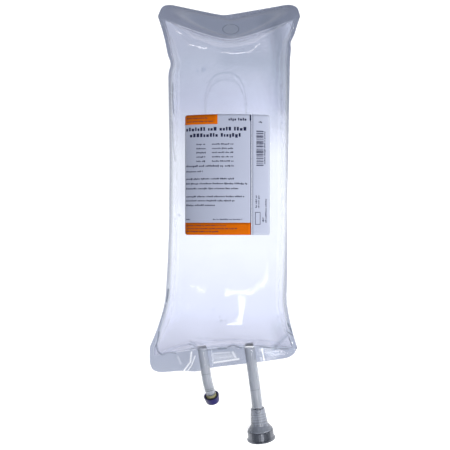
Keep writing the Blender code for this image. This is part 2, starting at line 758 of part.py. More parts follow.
def main():
    clear_scene()
    parts = new_collection("infusion_bag")
    cutters = new_collection("cutters")
    finishes = {
        "film": material("clear_film", (0.72, 0.75, 0.84), 0.12, transmission=0.8),
        "fluid": material("clear_fluid", (0.86, 0.89, 0.96), 0.02, transmission=0.9),
        "label": material("pale_label", (0.58, 0.62, 0.74), 0.5),
        "strip": material("pale_label_strip", (0.60, 0.64, 0.76), 0.5),
        "tube": material("soft_tube", (0.42, 0.44, 0.53), 0.25, transmission=0.5),
        "rigid": material("clear_rigid", (0.50, 0.52, 0.62), 0.15, transmission=0.6),
        "septum": material("yellow_rubber", (0.36, 0.33, 0.12), 0.6),
        "rubber": material("grey_rubber", (0.20, 0.20, 0.21), 0.7),
        "cap": material("violet_cap", (0.035, 0.026, 0.16), 0.3),
        "aluminium": material("aluminium", (0.62, 0.64, 0.68), 0.28, metallic=1.0),
    }
    hole = hanger_hole(cutters)
    film_sheet("back_film", -1, finishes["film"], parts, hole)
    film_sheet("front_film", 1, finishes["film"], parts, hole)
    fluid_body(finishes["fluid"], parts, cutters)
    slit = LABEL_RIGHT - LABEL_STRIP_WIDTH
    label_piece("label_main", LABEL_LEFT, slit - LABEL_SLIT, finishes["label"], parts)
    label_piece("label_strip", slit, LABEL_RIGHT, finishes["strip"], parts)
    injection_port(finishes, parts)
    infusion_port(finishes, parts)


main()
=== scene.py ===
import math
import random

import bmesh
import bpy
import numpy as np
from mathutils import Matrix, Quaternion, Vector
from mathutils.bvhtree import BVHTree


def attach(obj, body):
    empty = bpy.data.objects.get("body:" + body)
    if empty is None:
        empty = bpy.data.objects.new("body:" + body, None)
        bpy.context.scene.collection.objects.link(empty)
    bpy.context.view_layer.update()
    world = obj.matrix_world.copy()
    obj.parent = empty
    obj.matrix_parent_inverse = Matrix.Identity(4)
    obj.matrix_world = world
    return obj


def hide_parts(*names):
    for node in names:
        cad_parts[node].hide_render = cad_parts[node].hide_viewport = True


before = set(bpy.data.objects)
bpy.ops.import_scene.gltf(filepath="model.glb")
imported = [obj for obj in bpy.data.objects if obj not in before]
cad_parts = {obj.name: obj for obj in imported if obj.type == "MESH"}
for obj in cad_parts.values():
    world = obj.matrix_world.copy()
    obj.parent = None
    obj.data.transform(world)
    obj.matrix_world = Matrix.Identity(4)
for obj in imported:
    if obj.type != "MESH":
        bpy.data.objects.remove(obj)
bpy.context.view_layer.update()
scene = bpy.context.scene


# The view and the studio.
# The photo looks straight down on the bag, which lies on a white table lit from within. Tube lamps hang over
# the port end, a soft lamp stands at the right, and windows stand past the right side and the hanger end.

CAMERA_AT = (-0.0036, -0.0324, 0.87)
SEEN_AT = 0.85
SEEN_WIDTH = 0.405
TABLE_SIZE = 6.0
TABLE_GLOW = 0.90
TABLE_TONES = ((0.34, 0.342, 0.346), (0.36, 0.362, 0.366))
TABLE_SHADED = (0.05, 0.052, 0.058)
WALL_TONE = (0.24, 0.26, 0.30)
CEILING_TONE = (0.34, 0.36, 0.41)

# The table is painted grey in a shade shaped like the hanger end, a painted shadow in its colour and its glow,
# and that painted shade shows through the hanger hole
SHADE_AT = (0.0016, 0.1450)
SHADE_SIZE = (0.034, 0.0056)
SHADE_RISE = 0.0100
SHADE_SPREAD = 1.9
SHADE_TONE = (0.195, 0.222, 0.30)
SHADE_ON_TABLE = (0.0017, 0.1484)
SHADE_EASE = 1.65


class Signal:
    """A socket's value in a finish. Arithmetic on it adds Math nodes."""

    def __init__(self, finish, socket):
        self.finish = finish
        self.socket = socket

    def math(self, operation, *others):
        return self.finish.node("Math", {"operation": operation}, dict(enumerate((self, *others))))

    def __add__(self, other):
        return self.math("ADD", other)

    def __radd__(self, other):
        return self.math("ADD", other)

    def __sub__(self, other):
        return self.math("SUBTRACT", other)

    def __rsub__(self, other):
        return self.finish.node("Math", {"operation": "SUBTRACT"}, {0: other, 1: self})

    def __mul__(self, other):
        return self.math("MULTIPLY", other)

    def __rmul__(self, other):
        return self.math("MULTIPLY", other)

    def __truediv__(self, other):
        return self.math("DIVIDE", other)

    def __pow__(self, other):
        return self.math("POWER", other)

    def within(self, low, high):
        """0 at low, 1 at high, held at both ends."""
        settings = {"clamp": True, "interpolation_type": "SMOOTHSTEP"}
        return self.finish.node("MapRange", settings, {"Value": self, "From Min": low, "From Max": high})


class Finish:
    """A surface finish: a material, and the nodes that are added to it."""

    def __init__(self, name, shared=None):
        self.material = shared or bpy.data.materials.new(name)
        self.material.use_nodes = True
        self.tree = self.material.node_tree
        self.tree.nodes.clear()

    def node(self, kind, settings=None, inputs=None, output=0):
        """Adds a node, makes its settings, then joins or sets its inputs; returns one output."""
        made = self.tree.nodes.new("ShaderNode" + kind)
        for name, value in (settings or {}).items():
            if name == "stops":
                self.set_stops(made.color_ramp, value)
            else:
                setattr(made, name, value)
        for name, value in (inputs or {}).items():
            if isinstance(value, Signal):
                self.tree.links.new(value.socket, made.inputs[name])
            else:
                made.inputs[name].default_value = value
        return Signal(self, made.outputs[output]) if len(made.outputs) else None

    def set_stops(self, ramp, stops):
        while len(ramp.elements) < len(stops):
            ramp.elements.new(0.5)
        for element, (place, colour) in zip(ramp.elements, stops):
            element.position = place
            element.color = (*colour, 1.0)

    def place(self):
        """Where on the object a point is, in metres."""
        return self.node("TexCoord", output="Object")

    def axis(self, name):
        """One coordinate of that place."""
        return self.node("SeparateXYZ", inputs={"Vector": self.place()}, output=name)

    def noise(self, scale, detail=3.0, stretch=(1.0, 1.0, 1.0)):
        drawn = self.node("Mapping", inputs={"Vector": self.place(), "Scale": stretch})
        return self.node("TexNoise", inputs={"Vector": drawn, "Scale": scale, "Detail": detail})

    def along(self, stops):
        """A colour that changes along the bag, from stops of y and colour."""
        first, last = stops[0][0], stops[-1][0]
        inputs = {"Value": self.axis("Y"), "From Min": first, "From Max": last}
        place = self.node("MapRange", {"clamp": True}, inputs)
        placed = [((y - first) / (last - first), colour) for y, colour in stops]
        return self.node("ValToRGB", {"stops": placed}, {"Fac": place})

    def vectors(self, operation, first, second, output=0):
        return self.node("VectorMath", {"operation": operation}, {0: first, 1: second}, output)

    def near_lines(self, lines):
        """How much of any line is at a point. A line is its places in mm, its half width and its strength."""
        flat = self.vectors("MULTIPLY", self.place(), (1000.0, 1000.0, 0.0))
        most = None
        for places, half_width, strength in lines:
            for start, end in zip(places, places[1:]):
                way = Vector((*end, 0.0)) - Vector((*start, 0.0))
                out = self.vectors("SUBTRACT", flat, (*start, 0.0))
                reach = self.vectors("DOT_PRODUCT", out, way, output=1)
                settings = {"operation": "DIVIDE", "use_clamp": True}
                held = self.node("Math", settings, {0: reach, 1: way.length_squared})
                met = self.node("VectorMath", {"operation": "SCALE"}, {0: way, "Scale": held})
                away = self.vectors("DISTANCE", out, met, output=1)
                here = (1 - away.within(0.0, half_width)) * strength
                most = here if most is None else most.math("MAXIMUM", here)
        return most

    def blend(self, share, first, second):
        """A colour between two others."""
        settings = {"data_type": "RGBA"}
        return self.node("Mix", settings, {"Factor": share, 6: colour_of(first), 7: colour_of(second)}, 2)

    def bump(self, height, depth, strength=1.0):
        return self.node("Bump", inputs={"Height": height, "Distance": depth, "Strength": strength})

    def surface(self, shader):
        self.node("OutputMaterial", inputs={"Surface": shader})
        return self.material


def colour_of(value):
    return value if isinstance(value, Signal) else (*value, 1.0)


def painted_hanger_shade(finish, at):
    """1 in the middle of a painted shade shaped like the hanger end and 0 outside it."""
    across = (finish.axis("X") - at[0]).math("ABSOLUTE") / SHADE_SIZE[0]
    along_it = (finish.axis("Y") - at[1] - across**1.25 * SHADE_RISE) / SHADE_SIZE[1]
    return 1 - (across**2 + along_it**2).math("SQRT").within(1.0, SHADE_SPREAD)


def table_finish():
    finish = Finish("white_table")
    grain = finish.noise(40.0)
    # a painted shadow under the hanger end darkens the table's colour and its glow
    shade = painted_hanger_shade(finish, SHADE_ON_TABLE)
    white = finish.blend(grain, *TABLE_TONES)
    inputs = {
        "Base Color": finish.blend(shade, white, TABLE_SHADED),
        "Roughness": 0.6,
        "Emission Color": finish.blend(shade, (1.0, 1.0, 1.0), SHADE_TONE),
        "Emission Strength": TABLE_GLOW,
    }
    return finish.surface(finish.node("BsdfPrincipled", inputs=inputs))


def studio():
    camera = bpy.data.objects.new("camera", bpy.data.cameras.new("camera"))
    camera.location = CAMERA_AT
    camera.data.angle = 2 * math.atan(SEEN_WIDTH / 2 / SEEN_AT)
    scene.collection.objects.link(camera)
    scene.camera = camera
    table = bmesh.new()
    bmesh.ops.create_grid(table, x_segments=1, y_segments=1, size=TABLE_SIZE / 2)
    mesh = bpy.data.meshes.new("table")
    table.to_mesh(mesh)
    table.free()
    mesh.materials.append(table_finish())
    floor = bpy.data.objects.new("table", mesh)
    scene.collection.objects.link(floor)


def lamp(name, place, target, size, power, roll=0.0):
    """An area lamp that faces its target; roll turns it about the way it faces, in degrees."""
    light = bpy.data.lights.new(name, "AREA")
    light.shape = "RECTANGLE"
    light.size, light.size_y = size
    light.energy = power
    holder = bpy.data.objects.new(name, light)
    holder.location = place
    facing = (Vector(target) - Vector(place)).to_track_quat("-Z", "Y")
    holder.rotation_euler = (facing @ Quaternion((0, 0, 1), math.radians(roll))).to_euler()
    scene.collection.objects.link(holder)
    return holder


def room():
    """A pale ceiling over darker walls."""
    world = bpy.data.worlds.new("room")
    world.use_nodes = True
    tree = world.node_tree
    tree.nodes.clear()
    finish = Finish("room", shared=world)
    way = finish.node("TexCoord", output="Generated")
    upward = finish.node("SeparateXYZ", inputs={"Vector": way}, output="Z")
    light = finish.blend(upward.within(0.1, 0.8), WALL_TONE, CEILING_TONE)
    background = finish.node("Background", inputs={"Color": light, "Strength": 1.0})
    finish.node("OutputWorld", inputs={"Surface": background})
    scene.world = world


studio()
room()
soft_box = lamp("soft_box", (1.0, -0.75, 1.0), (0.0, -0.05, 0.0), (0.7, 0.7), 19)
soft_box.visible_glossy = False
lamp("tube_across", (0.94, -0.28, 1.2), (0.94, -0.28, 0.0), (1.95, 0.018), 1.2)
lamp("tube_across_left", (-0.93, -0.21, 1.2), (-0.93, -0.21, 0.0), (0.86, 0.015), 0.3)
lamp("tube_along", (0.25, -0.80, 1.2), (0.25, -0.80, 0.0), (0.17, 0.95), 3.0, roll=-11.0)
lamp("side_window", (2.0, 0.135, 1.15), (0.03, 0.02, 0.04), (0.12, 0.35), 2.2, roll=90.0)
lamp("window", (-0.25, 1.98, 0.80), (0.0, 0.1, 0.0), (0.80, 0.07), 1.8, roll=26.0)
scene.view_settings.view_transform = "Standard"


# The film pouch.
# Two sheets of soft clear film, cut flat and welded to each other along the sides and both ends. The litre of
# fluid in it draws its sides in, gathers its welds and lifts its corners into ears.

FILM = 0.0003
FILLED_HEIGHT = 0.0465
SEAM_HEIGHT = 0.0165
SIDE_WELD = 0.003
CHAMBER_HALF_WIDTH = 0.0518
HANGER_FLARE = 0.0095
PORT_FLARE = 0.0118
HANGER_FLARE_LENGTH = 0.040
HANGER_FLARE_EASE = 1.6
PORT_FLARE_LENGTH = 0.046
PORT_FLARE_EASE = 1.5
HANGER_WELD_AT = 0.1355
HANGER_WELD_BOW = 0.0193
HANGER_WELD_EASE = 1.5
HANGER_BAND = 0.0223
HANGER_EDGE_RISE = 0.0118
HANGER_EDGE_TILT = 0.001
HANGER_EDGE_LOW_AT = -0.08
HANGER_EDGE_ROUNDING = 0.06
PORT_WELD_AT = 0.1425
PORT_WELD_BOW = 0.005
PORT_WELD_SKEW = 0.0035
PORT_BAND = 0.0165
PORT_EDGE_SKEW = 0.0075
PORT_EDGE_FOLD = 0.0022
PORT_EDGE_FOLD_AT = -0.42
PORT_EDGE_FOLD_SPREAD = 0.15
HANGER_CORNER_RADIUS = 0.0118
PORT_CORNER_RADIUS = 0.010
BODY_LEAN = 0.005
BODY_LEAN_FROM = 0.020
BODY_LEAN_EASE = 1.5
PORT_LEAN = math.radians(8)
BAND_LEANS_WITHIN = 0.62
PORT_INSIDE = 0.004

# Each port tube's place across the pouch, and the radius of the film's sleeve round it
PORT_SLEEVES = ((-0.0190, 0.0050), (0.0233, 0.0054))
SLEEVE_TURN = math.radians(60)
HANGER_HOLE_AT = (0.0016, 0.1445)
HANGER_HOLE_SIZE = (0.0135, 0.0085)

# The same pouch cut out flat
FLAT_HALF_WIDTH = 0.0685
FLAT_PORT_WELD_AT = 0.1525
FLAT_HANGER_WELD_AT = 0.148
FLAT_HANGER_WELD_BOW = 0.015

# What each face of the film lets through where it is welded, along the bag: grey film, painted darker towards
# both ends and most at the hanger end, as painted shade
WELD_TINTS_AND_SHADE = (
    (-0.165, (0.80, 0.815, 0.855)), (-0.140, (0.785, 0.80, 0.845)), (-0.100, (0.83, 0.84, 0.87)),
    (0.000, (0.83, 0.84, 0.865)), (0.080, (0.78, 0.79, 0.82)), (0.125, (0.70, 0.715, 0.765)),
    (0.165, (0.66, 0.675, 0.725)),
)

# Painted shade: dark lines where the film is gathered along its welds, and wide painted shades at its right
# side
CREASE_SHADES = (
    (((-35.4, -138.6), (-31.5, -139.6), (-28.5, -142.2)), 1.2, 0.30),
    (((-35.0, -144.2), (-31.0, -143.0), (-27.0, -144.9)), 0.9, 0.24),
    (((-26.1, -144.9), (-11.7, -144.5)), 0.9, 0.20), (((-9.9, -143.4), (-2.7, -143.0)), 1.5, 0.28),
    (((-0.9, -141.7), (3.6, -140.4), (10.8, -142.6)), 1.2, 0.26), (((12.6, -142.2), (17.0, -139.5)), 0.9, 0.14),
    (((24.3, -140.8), (33.3, -142.2), (41.4, -143.9), (53.1, -143.9)), 0.9, 0.20),
    (((52.2, -131.4), (46.8, -136.8), (41.4, -142.2)), 2.6, 0.16),
    (((53.1, -121.5), (56.7, -128.7)), 1.1, 0.30),
    (((51.3, -127.8), (57.6, -132.3)), 1.0, 0.26), (((54.0, -133.2), (56.7, -142.2)), 0.9, 0.20),
    (((-63.2, -129.2), (-65.6, -141.4), (-64.2, -146.4), (-60.8, -149.4)), 1.2, 0.26),
    (((-60.8, -149.4), (-53.1, -147.2), (-48.2, -147.6)), 1.1, 0.18),
    (((-54.9, -90.9), (-56.4, -101.7)), 1.4, 0.28),
    (((-57.0, -104.4), (-60.8, -116.5), (-63.6, -126.9)), 0.8, 0.16),
    (((-51.4, 61.7), (-50.4, 40.0), (-48.6, 26.0)), 0.9, 0.14),
    (((-50.7, 95.5), (-50.9, 82.0), (-49.9, 68.0)), 0.9, 0.32), (((45.6, 93.0), (48.0, 91.0)), 0.7, 0.30),
    (((43.0, 146.0), (49.0, 74.0)), 13.0, 0.13), (((36.0, 152.0), (54.0, 158.0)), 16.0, 0.06),
    (((46.0, -126.0), (50.0, -140.0)), 13.0, 0.06), (((0.0, 117.0), (38.0, 115.0), (47.0, 60.0)), 16.0, 0.045),
)
PAINTED_SHADE_TONE = (0.22, 0.28, 0.34)
RIM_WIDTH = 0.24
RIM_SHADE_STRENGTH = 0.16
CLEAREST_TINT = (0.985, 0.987, 0.997)
MILK_TONE = (0.33, 0.38, 0.46, 1.0)

# Painted highlights on folds and ridges in the port end's weld, where the film is made clear and the white
# table shows through
WELD_FOLD_HIGHLIGHTS = (
    (((-33.8, -146.7), (-34.7, -155.7), (-40.5, -163.8)), 1.4, 0.9),
    (((-30.6, -150.3), (-33.5, -158.5), (-37.8, -164.7)), 1.0, 0.8),
    (((-13.0, -147.8), (0.5, -146.8)), 1.3, 0.5), (((-8.5, -151.6), (2.0, -150.7)), 1.2, 0.55),
    (((-13.5, -156.2), (8.5, -152.8)), 1.6, 0.9), (((3.4, -146.8), (5.8, -151.5)), 2.0, 0.7),
    (((-14.6, -148.0), (-14.2, -154.0)), 1.9, 0.45), (((-12.0, -151.5), (4.0, -150.0)), 5.5, 0.35),
    (((29.7, -143.4), (31.8, -155.7)), 1.4, 0.8), (((-46.0, -151.0), (-43.5, -157.5)), 1.8, 0.25),
)

# Fineness of the sheets
COLUMN_STEP = 0.0029
SLEEVE_COLUMN_ROOM = 0.0013
CHAMBER_ROWS = 100
ROW_CROWDING = 0.4
PORT_BAND_ROWS = 6
HANGER_BAND_ROWS = 8

# How it is filled: cloth settles better at ten times life size
SIM_SCALE = 10.0
SIM_FRAMES = 24
FILM_GAP = 0.005
HELD_AT_PORTS = 1.0
HELD_AT_HOLE = 0.7
HELD_ROUND_HOLE = 0.012
HELD_HANGER_BAND = 0.3
HELD_PORT_BAND = 0.5
SMOOTHINGS = 5

# Kinks in the sides, where the hanger end's ears fold: side, y, half length and depth
SIDE_KINKS = ((-1, 0.1135, 0.0055, 0.0026), (1, 0.1330, 0.0045, 0.0018), (-1, 0.1620, 0.004, 0.001))
KINK_LINE = 0.056
KINK_REACH = 0.014


def share(value, start, length):
    """How far value lies along a stretch, from 0 to 1."""
    return min(1.0, max(0.0, (value - start) / length))


def centre_line(y):
    return -BODY_LEAN * share(-y, BODY_LEAN_FROM, PORT_WELD_AT - BODY_LEAN_FROM) ** BODY_LEAN_EASE


def half_width(y):
    hanger = share(y, HANGER_WELD_AT - HANGER_FLARE_LENGTH / 2, HANGER_FLARE_LENGTH)
    port = share(-y, PORT_WELD_AT - PORT_FLARE_LENGTH, PORT_FLARE_LENGTH)
    return CHAMBER_HALF_WIDTH + HANGER_FLARE * hanger**HANGER_FLARE_EASE + PORT_FLARE * port**PORT_FLARE_EASE


def corner_pull(u, t):
    """How far a rounded corner draws the sheet's end in: u is 2 or -2 at the side welds' outer edges."""
    radius = PORT_CORNER_RADIUS if t < 0 else HANGER_CORNER_RADIUS
    from_side = SIDE_WELD * (2 - abs(u)) if abs(u) > 1 else SIDE_WELD + CHAMBER_HALF_WIDTH * (1 - abs(u))
    inwards = 1 - share(from_side, 0, radius)
    return radius * (1 - math.sqrt(1 - inwards * inwards))


def hanger_edge(u, at):
    """The hanger end's edge, which stands lowest near the hole and rises to both corners."""
    rise = math.hypot(u - HANGER_EDGE_LOW_AT, HANGER_EDGE_ROUNDING) - HANGER_EDGE_ROUNDING
    return at + HANGER_BAND + HANGER_EDGE_RISE * rise - HANGER_EDGE_TILT * u


def port_edge(u, at):
    """The port end's edge, which hangs lowest where the film is folded beside the injection port."""
    fold = PORT_EDGE_FOLD * math.exp(-(((u - PORT_EDGE_FOLD_AT) / PORT_EDGE_FOLD_SPREAD) ** 2))
    return -at - PORT_BAND + PORT_EDGE_SKEW * u - fold


def lean_shift(u, y):
    """The middle of the port band leans with its ports."""
    below = max(0.0, -PORT_WELD_AT - y)
    return math.tan(PORT_LEAN) * below * (1 - share(abs(u), BAND_LEANS_WITHIN, 1 - BAND_LEANS_WITHIN))


def along(t, lowest, port_weld, hanger_weld, highest):
    """y at t, which is -1 at the port edge, 0 to 1 along the chamber and 2 at the hanger edge."""
    if t < 0:
        return port_weld + (port_weld - lowest) * t
    if t > 1:
        return hanger_weld + (highest - hanger_weld) * (t - 1)
    return port_weld + (hanger_weld - port_weld) * t


def filled_place(u, t):
    """x and y on the filled pouch. u goes from -1 to 1 across the chamber, and to 2 at a side weld's edge."""
    pull = corner_pull(u, t)
    u = min(1.0, max(-1.0, u))
    port_weld = -PORT_WELD_AT + PORT_WELD_SKEW * u - PORT_WELD_BOW * u * u
    hanger_weld = HANGER_WELD_AT + HANGER_WELD_BOW * abs(u) ** HANGER_WELD_EASE
    lowest, highest = port_edge(u, PORT_WELD_AT) + pull, hanger_edge(u, HANGER_WELD_AT) - pull
    y = along(t, lowest, port_weld, hanger_weld, highest)
    return centre_line(y) + half_width(y) * u + lean_shift(u, y), y


def flat_place(u, t):
    """x and y on the pouch before it is filled."""
    pull = corner_pull(u, t)
    beyond = math.copysign(SIDE_WELD * max(0.0, abs(u) - 1), u)
    u = min(1.0, max(-1.0, u))
    port_weld = -FLAT_PORT_WELD_AT + PORT_WELD_SKEW * u
    hanger_weld = FLAT_HANGER_WELD_AT + FLAT_HANGER_WELD_BOW * abs(u) ** HANGER_WELD_EASE
    lowest, highest = port_edge(u, FLAT_PORT_WELD_AT) + pull, hanger_edge(u, FLAT_HANGER_WELD_AT) - pull
    y = along(t, lowest, port_weld, hanger_weld, highest)
    return (FLAT_HALF_WIDTH - SIDE_WELD) * u + beyond, y


def pouch_columns():
    """Places across the pouch, even but for those set out round each port's sleeve."""
    wide = half_width(-PORT_WELD_AT)
    sleeves = []
    for at, radius in PORT_SLEEVES:
        for turn in (0.0, math.sin(SLEEVE_TURN / 2), math.sin(SLEEVE_TURN), 1 / math.sin(SLEEVE_TURN)):
            offset = radius * turn / math.cos(PORT_LEAN)
            sleeves += [(at + offset) / wide, (at - offset) / wide]
    count = round(2 * FLAT_HALF_WIDTH / COLUMN_STEP)
    even = [2 * k / count - 1 for k in range(count + 1)]
    clear = [u for u in even if all(abs(u - s) > SLEEVE_COLUMN_ROOM / wide for s in sleeves)]
    return [-2.0, -1.5] + sorted({round(u, 7) for u in clear + sleeves}) + [1.5, 2.0]


def pouch_rows():
    """Places along the pouch, closer together near the chamber's ends."""
    even = [k / CHAMBER_ROWS for k in range(CHAMBER_ROWS + 1)]
    chamber = [(1 - ROW_CROWDING) * e + ROW_CROWDING * (1 - math.cos(math.pi * e)) / 2 for e in even]
    port = [k / PORT_BAND_ROWS - 1 for k in range(PORT_BAND_ROWS)]
    hanger = [1 + (k + 1) / HANGER_BAND_ROWS for k in range(HANGER_BAND_ROWS)]
    return port + chamber + hanger


COLUMNS = pouch_columns()
ROWS = pouch_rows()
SIDE_COLUMN = 2
LAST_COLUMN = len(COLUMNS) - 1
LAST_ROW = len(ROWS) - 1
PORT_WELD_ROW = PORT_BAND_ROWS
HANGER_WELD_ROW = PORT_BAND_ROWS + CHAMBER_ROWS


def welded(i, j):
    """Whether the two sheets are one at this column and row."""
    at_side = i <= SIDE_COLUMN or i >= LAST_COLUMN - SIDE_COLUMN
    return at_side or j <= PORT_WELD_ROW or j >= HANGER_WELD_ROW


def tree_of(*objects):
    """What rays are sent at: these objects' own faces."""
    points, faces = [], []
    for obj in objects:
        start = len(points)
        points += [v.co.copy() for v in obj.data.vertices]
        faces += [[start + k for k in polygon.vertices] for polygon in obj.data.polygons]
    return BVHTree.FromPolygons(points, faces)


def height_over(tree, x, y, upward, about=SEAM_HEIGHT):
    """The height of the tree's first face over (x, y), from below or above; past its edge, the nearest's."""
    start, way = ((x, y, -1), (0, 0, 1)) if upward else ((x, y, 1), (0, 0, -1))
    hit = tree.ray_cast(Vector(start), Vector(way))[0]
    if hit is None:
        hit = tree.find_nearest(Vector((x, y, about)))[0]
    return hit.z


def formed_pouch():
    """The places of both sheets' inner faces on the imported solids, as grids of column by row."""
    over, under = tree_of(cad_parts["front_film"]), tree_of(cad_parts["back_film"])
    front = np.zeros((len(COLUMNS), len(ROWS), 3))
    back = np.zeros_like(front)
    for i, u in enumerate(COLUMNS):
        for j, t in enumerate(ROWS):
            x, y = filled_place(u, t)
            top, bottom = height_over(over, x, y, False), height_over(under, x, y, True)
            x += math.copysign(SIDE_WELD * max(0.0, abs(u) - 1), u)
            front[i, j] = x, y, top - FILM
            back[i, j] = x, y, bottom + FILM
    return front, back


def sheet_shape(places):
    """A grid moved to these places, each point marked with its column and row."""
    shape = bmesh.new()
    column = shape.verts.layers.int.new("column")
    row = shape.verts.layers.int.new("row")
    bmesh.ops.create_grid(shape, x_segments=LAST_COLUMN, y_segments=LAST_ROW, size=0.5)
    for vertex in shape.verts:
        vertex[column] = round((vertex.co.x + 0.5) * LAST_COLUMN)
        vertex[row] = round((vertex.co.y + 0.5) * LAST_ROW)
        vertex.co = places[vertex[column], vertex[row]]
    return shape


def add_shape(shape, other):
    """Puts a copy of another bmesh into this one, and frees the other."""
    mesh = bpy.data.meshes.new("passing")
    other.to_mesh(mesh)
    other.free()
    shape.from_mesh(mesh)
    bpy.data.meshes.remove(mesh)


def chamber_only(shape):
    """Leaves only the faces between the welds."""
    column, row = shape.verts.layers.int["column"], shape.verts.layers.int["row"]
    outside = [
        face
        for face in shape.faces
        if any(
            not (
                SIDE_COLUMN <= v[column] <= LAST_COLUMN - SIDE_COLUMN
                and PORT_WELD_ROW <= v[row] <= HANGER_WELD_ROW
            )
            for v in face.verts
        )
    ]
    bmesh.ops.delete(shape, geom=outside, context="FACES")


def evaluated_mesh(obj):
    graph = bpy.context.evaluated_depsgraph_get()
    return bpy.data.meshes.new_from_object(obj.evaluated_get(graph))


def beside_a_port(u, start=1.25, length=1.0):
    """How near a column is to a port's axis: 1 within start times its sleeve's radius, then falling to 0."""
    x = u * half_width(-PORT_WELD_AT)
    gaps = [abs(x - at) / radius for at, radius in PORT_SLEEVES]
    return 1 - share(min(gaps), start, length)


def hold(i, j):
    """How firmly a point is held while the pouch fills."""
    u, t = COLUMNS[i], ROWS[j]
    rows_in = PORT_INSIDE / (PORT_WELD_AT + HANGER_WELD_AT)
    if t <= rows_in * 1.5 and beside_a_port(u) >= 1:
        return HELD_AT_PORTS
    if t < 0:
        return HELD_PORT_BAND
    if t > 1:
        x, y = filled_place(u, t)
        away = math.hypot(x - HANGER_HOLE_AT[0], y - HANGER_HOLE_AT[1])
        return HELD_AT_HOLE if away < HELD_ROUND_HOLE else HELD_HANGER_BAND
    return 0.0


def joined_at_welds(front, back):
    """Both sheets' places, with each weld halfway between them."""
    welds = np.array([[welded(i, j) for j in range(len(ROWS))] for i in range(len(COLUMNS))])
    middle = (front + back) / 2
    return np.where(welds[..., None], middle, front), np.where(welds[..., None], middle, back)


def closed_pouch(front, back):
    """One mesh of both sheets, at the simulation's scale, each point marked with its side."""
    start_front, start_back = joined_at_welds(front, back)
    shape, under = sheet_shape(start_front * SIM_SCALE), sheet_shape(start_back * SIM_SCALE)
    for bm, side in ((shape, 1), (under, -1)):
        mark = bm.verts.layers.int.new("side")
        for vertex in bm.verts:
            vertex[mark] = side
    chamber_only(under)
    bmesh.ops.reverse_faces(under, faces=under.faces)
    add_shape(shape, under)
    bmesh.ops.remove_doubles(shape, verts=shape.verts, dist=1e-5)
    mesh = bpy.data.meshes.new("filling")
    shape.to_mesh(mesh)
    shape.free()
    return mesh


def lay_ground():
    """What the pouch settles on."""
    table = bmesh.new()
    bmesh.ops.create_grid(table, x_segments=1, y_segments=1, size=SIM_SCALE)
    mesh = bpy.data.meshes.new("ground")
    table.to_mesh(mesh)
    table.free()
    ground = bpy.data.objects.new("ground", mesh)
    scene.collection.objects.link(ground)
    ground.modifiers.new("ground", "COLLISION")
    ground.collision.thickness_outer = FILM_GAP
    ground.collision.cloth_friction = 1.0
    return ground


def make_film(pouch, flat):
    """Makes the pouch behave as soft film that was cut flat, and as full as it is."""
    cloth = pouch.modifiers.new("film", "CLOTH")
    film = cloth.settings
    film.rest_shape_key = flat
    film.quality = 8
    film.mass = 0.02
    film.vertex_group_mass = "held"
    film.pin_stiffness = 10.0
    film.tension_stiffness = film.compression_stiffness = 60
    film.shear_stiffness = 30
    film.bending_model = "ANGULAR"
    film.bending_stiffness = 0.02
    film.tension_damping = film.compression_damping = film.shear_damping = 10
    film.air_damping = 3
    film.use_pressure = True
    film.uniform_pressure_force = 1.5
    film.use_pressure_volume = True
    film.target_volume = 0.98
    film.pressure_factor = 1
    film.vertex_group_pressure = "pressed"
    film.fluid_density = 0.3
    cloth.collision_settings.distance_min = FILM_GAP
    cloth.point_cache.frame_end = SIM_FRAMES


def fill(front, back):
    """Lets the cut-out film settle round the fluid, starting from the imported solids' form."""
    mesh = closed_pouch(front, back)
    count = len(mesh.vertices)
    column, row, side = (np.zeros(count, np.int32) for _ in range(3))
    mesh.attributes["column"].data.foreach_get("value", column)
    mesh.attributes["row"].data.foreach_get("value", row)
    mesh.attributes["side"].data.foreach_get("value", side)
    pouch = bpy.data.objects.new("filling", mesh)
    scene.collection.objects.link(pouch)
    pouch.shape_key_add(name="formed")
    flat = pouch.shape_key_add(name="flat")
    pressed = pouch.vertex_groups.new(name="pressed")
    held = pouch.vertex_groups.new(name="held")
    for k in range(count):
        i, j = int(column[k]), int(row[k])
        x, y = flat_place(COLUMNS[i], ROWS[j])
        flat.data[k].co = (x * SIM_SCALE, y * SIM_SCALE, 0.0)
        if SIDE_COLUMN <= i <= LAST_COLUMN - SIDE_COLUMN and PORT_WELD_ROW <= j <= HANGER_WELD_ROW:
            pressed.add([k], 1.0, "REPLACE")
        if hold(i, j) > 0:
            held.add([k], hold(i, j), "REPLACE")
    ground = lay_ground()
    make_film(pouch, flat)
    scene.frame_end = SIM_FRAMES
    for step in range(1, SIM_FRAMES + 1):
        scene.frame_set(step)
    settled = evaluated_mesh(pouch)
    points = np.zeros(count * 3)
    settled.vertices.foreach_get("co", points)
    points = points.reshape(-1, 3) / SIM_SCALE
    front, back = np.zeros_like(front), np.zeros_like(back)
    for k in range(count):
        i, j = column[k], row[k]
        if side[k] > 0 or welded(i, j):
            front[i, j] = points[k]
        if side[k] < 0 or welded(i, j):
            back[i, j] = points[k]
    for obj in (pouch, ground):
        bpy.data.objects.remove(obj, do_unlink=True)
    scene.frame_set(1)
    return front, back


def smoothed(places):
    """Takes the finest unevenness out of a sheet, between its welds."""
    places = places.copy()
    inside = np.array([[not welded(i, j) for j in range(len(ROWS))] for i in range(len(COLUMNS))])
    for _ in range(SMOOTHINGS):
        around = np.zeros_like(places)
        around[1:-1, 1:-1] = (places[:-2, 1:-1] + places[2:, 1:-1] + places[1:-1, :-2] + places[1:-1, 2:]) / 4
        places = np.where(inside[..., None], (places + around) / 2, places)
    return places


formed_front, formed_back = formed_pouch()
front_places, back_places = (smoothed(places) for places in fill(formed_front, formed_back))
